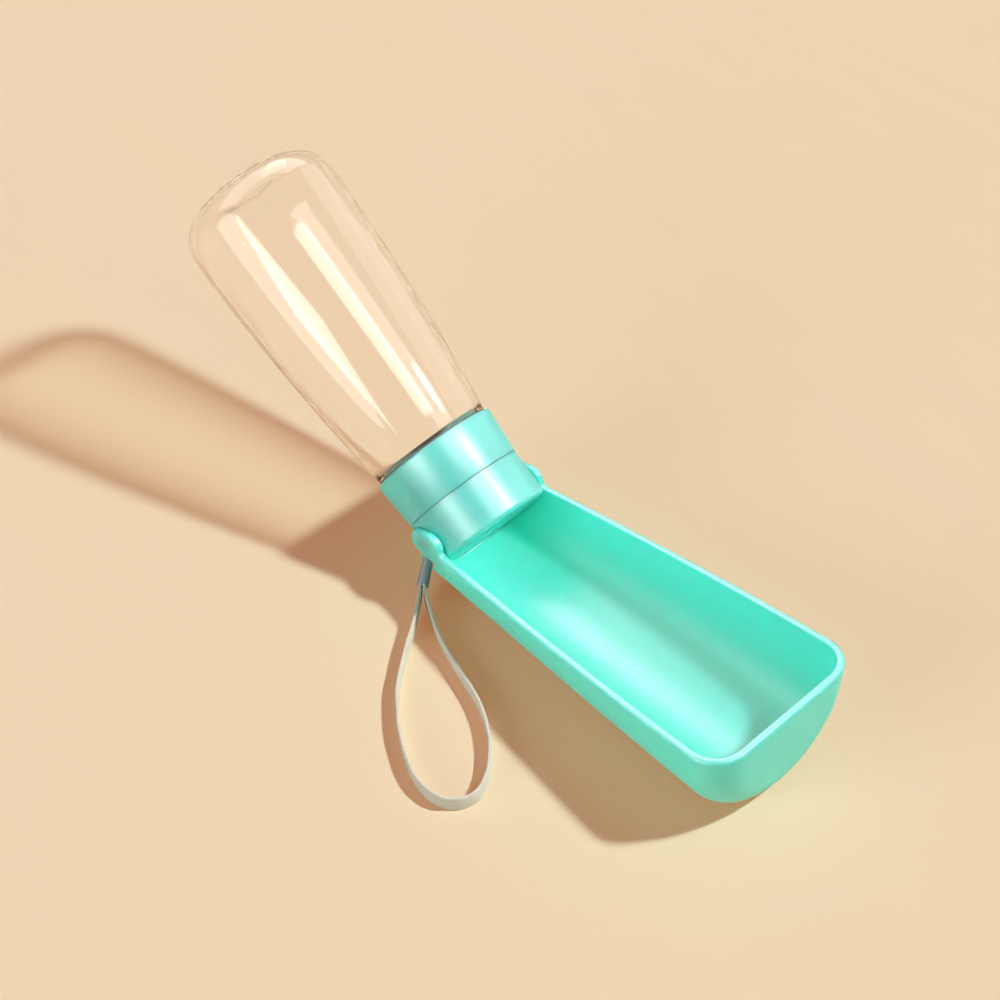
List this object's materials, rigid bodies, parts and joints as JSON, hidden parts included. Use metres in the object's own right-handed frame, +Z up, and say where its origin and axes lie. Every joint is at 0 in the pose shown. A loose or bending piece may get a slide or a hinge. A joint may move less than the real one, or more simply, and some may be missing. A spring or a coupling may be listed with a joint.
{
  "type": "dog travel water bottle",
  "caption": "Travel water bottle for a dog: clear bottle screwed into a dispensing head, with a long fold-out drinking tray, thumb button, lock slider, filter and wrist strap",
  "frame": {"origin": "centre of the footprint of the bottle and open tray, on the floor; the strap is left out of it", "axes": "+Z up, +X along the open tray away from the hinge, the bottle leans up toward -X, +Y completes a right-handed frame (the strap lies on the -Y side)"},
  "size_m": [0.313, 0.1344, 0.1414],
  "materials": {
    "mint": "satin moulded plastic in pale mint",
    "clear": "clear plastic, faintly grey in the foot",
    "gasket_grey": "dark grey silicone",
    "filter_black": "pressed carbon block",
    "white": "white moulded plastic",
    "ferrule": "grey moulded plastic",
    "webbing": "flat woven webbing",
    "steel": "drawn stainless wire and pins"
  },
  "bodies": {
    "head": {"head_shell": "mint", "collar": "mint", "mouth_seal": "white", "valve_block": "white", "outlet_nozzle": "white", "hinge_pin_left": "steel", "hinge_pin_right": "steel", "strap_anchor": "steel", "ferrule": "ferrule", "strap_loop": "webbing", "return_spring": "steel"},
    "bottle": {"bottle": "clear", "neck_gasket": "gasket_grey"},
    "filter": {"filter_basket": "white", "filter_core": "filter_black", "filter_cap": "white"},
    "button": {"button_cap": "mint", "valve_stem": "white", "valve_sleeve": "gasket_grey", "stem_ring_front": "gasket_grey", "stem_ring_back": "gasket_grey"},
    "lock": {"lock_slider": "mint", "lock_clip": "white"},
    "tray": {"tray": "mint"}
  },
  "joints": [
    {"name": "tray_fold", "type": "hinge", "parent": "head", "child": "tray", "pos_m": [-0.00835, 0, 0.03113], "axis": [0, 1, 0], "range_deg": [-144.7, 0]},
    {"name": "bottle_unscrew", "type": "slide", "parent": "head", "child": "bottle", "axis": [-0.8406, 0, 0.5417], "range_m": [0, 0.03]},
    {"name": "filter_pull", "type": "slide", "parent": "head", "child": "filter", "axis": [-0.8406, 0, 0.5417], "range_m": [0, 0.02]},
    {"name": "button_press", "type": "slide", "parent": "head", "child": "button", "axis": [0.5417, 0, 0.8406], "range_m": [0, 0.003], "stiffness_N_per_m": 400, "springref_m": -0.002, "deforming": ["return_spring"]},
    {"name": "lock_slide", "type": "slide", "parent": "head", "child": "lock", "axis": [0, 1, 0], "range_m": [-0.0036, 0]}
  ]
}
